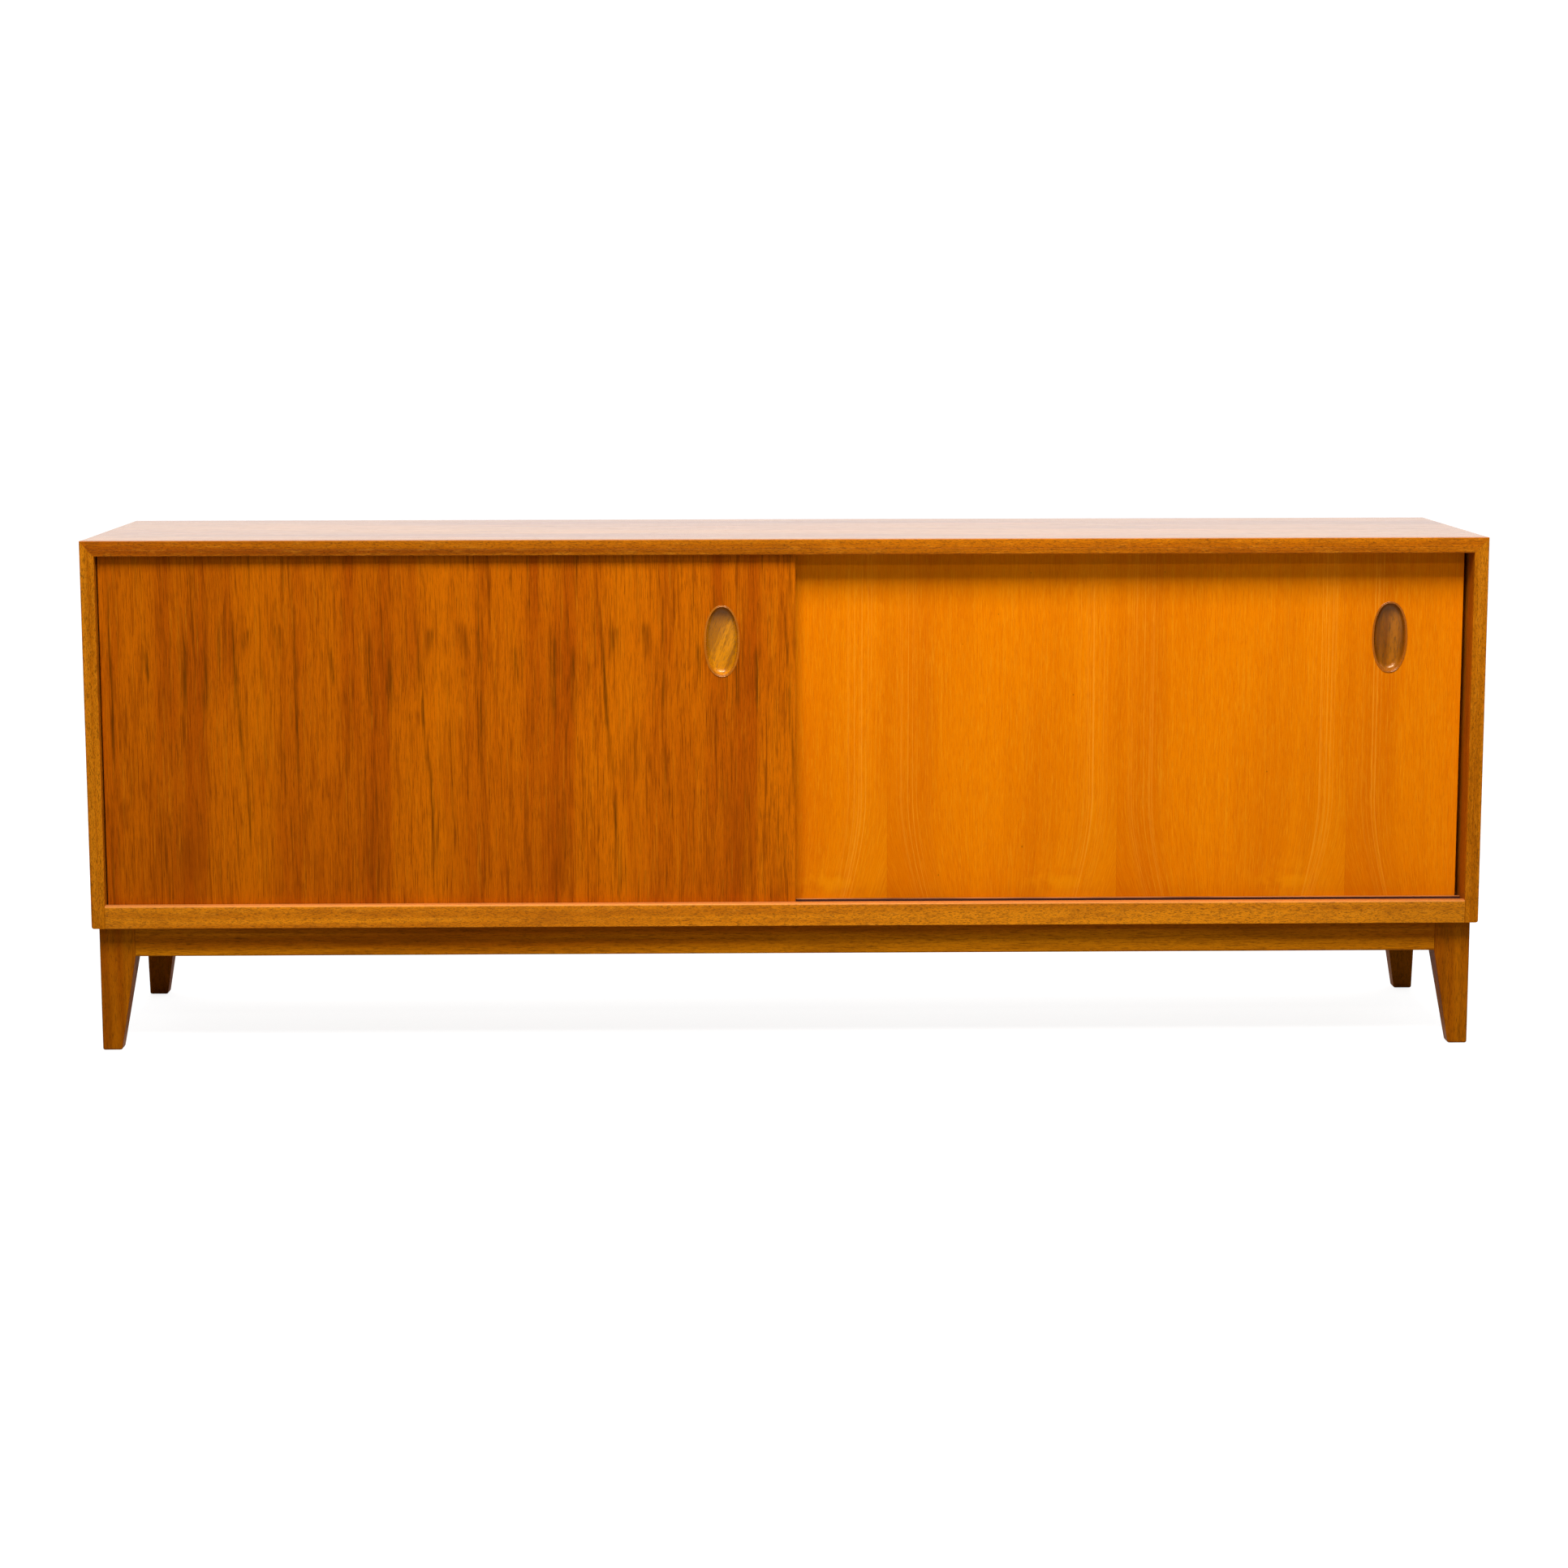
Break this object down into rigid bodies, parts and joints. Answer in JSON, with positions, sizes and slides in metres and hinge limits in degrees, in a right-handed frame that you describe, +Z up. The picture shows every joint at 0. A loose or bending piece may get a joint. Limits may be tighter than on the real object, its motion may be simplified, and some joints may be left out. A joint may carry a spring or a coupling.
{
  "type": "sideboard buffet",
  "caption": "Long low sideboard with sliding doors in front of shelved bays, oval recessed finger pulls, mitred case edges and a tapered-leg base.",
  "frame": {"origin": "on the floor under the middle of the sideboard, midway between its front and back", "axes": "+X to the right along the doors as seen from the front, +Y to the back, +Z up"},
  "size_m": [2, 0.445, 0.74],
  "materials": {
    "left_door_veneer": "satin oiled veneer, reddish brown with dark streaks",
    "right_door_veneer": "satin oiled veneer, orange with fine lines",
    "case_veneer": "satin oiled veneer",
    "solid_edge": "satin oiled solid wood",
    "inside_veneer": "plain satin veneer",
    "back_plywood": "bare plywood",
    "track_wood": "waxed hardwood",
    "pull_wood": "satin turned wood",
    "base_wood": "satin oiled solid wood",
    "glide_nylon": "worn nylon",
    "pin_brass": "dulled brass",
    "screw_steel": "zinc plated"
  },
  "bodies": {
    "case": {"top_panel": "case_veneer", "left_side_panel": "case_veneer", "right_side_panel": "case_veneer", "bottom_panel": "inside_veneer", "centre_divider": "inside_veneer", "left_shelf": "inside_veneer", "right_shelf": "inside_veneer", "back_panel": "back_plywood", "top_lipping": "solid_edge", "left_lipping": "solid_edge", "right_lipping": "solid_edge", "bottom_rail": "solid_edge", "bottom_track": "track_wood", "centre_cross_rail": "track_wood", "front_left_corner_block": "track_wood", "rear_left_corner_block": "track_wood", "front_right_corner_block": "track_wood", "rear_right_corner_block": "track_wood", "front_left_leg": "base_wood", "rear_left_leg": "base_wood", "front_right_leg": "base_wood", "rear_right_leg": "base_wood", "front_apron": "base_wood", "rear_apron": "base_wood", "left_apron": "base_wood", "right_apron": "base_wood", "left_shelf_pin_1": "pin_brass", "left_shelf_pin_2": "pin_brass", "left_shelf_pin_3": "pin_brass", "left_shelf_pin_4": "pin_brass", "right_shelf_pin_1": "pin_brass", "right_shelf_pin_2": "pin_brass", "right_shelf_pin_3": "pin_brass", "right_shelf_pin_4": "pin_brass", "front_left_base_screw": "screw_steel", "rear_left_base_screw": "screw_steel", "front_right_base_screw": "screw_steel", "rear_right_base_screw": "screw_steel", "back_screw_1": "screw_steel", "back_screw_2": "screw_steel", "back_screw_3": "screw_steel", "back_screw_4": "screw_steel", "back_screw_5": "screw_steel", "back_screw_6": "screw_steel", "back_screw_7": "screw_steel", "back_screw_8": "screw_steel", "back_screw_9": "screw_steel", "back_screw_10": "screw_steel"},
    "left_door": {"left_door": "left_door_veneer", "left_door_pull": "pull_wood", "left_door_glide_1": "glide_nylon", "left_door_glide_2": "glide_nylon"},
    "right_door": {"right_door": "right_door_veneer", "right_door_pull": "pull_wood", "right_door_glide_1": "glide_nylon", "right_door_glide_2": "glide_nylon"}
  },
  "joints": [
    {"name": "left_door_slide", "type": "slide", "parent": "case", "child": "left_door", "axis": [1, 0, 0], "range_m": [0, 0.9655]},
    {"name": "right_door_slide", "type": "slide", "parent": "case", "child": "right_door", "axis": [-1, 0, 0], "range_m": [-0.0035, 0.962]}
  ]
}
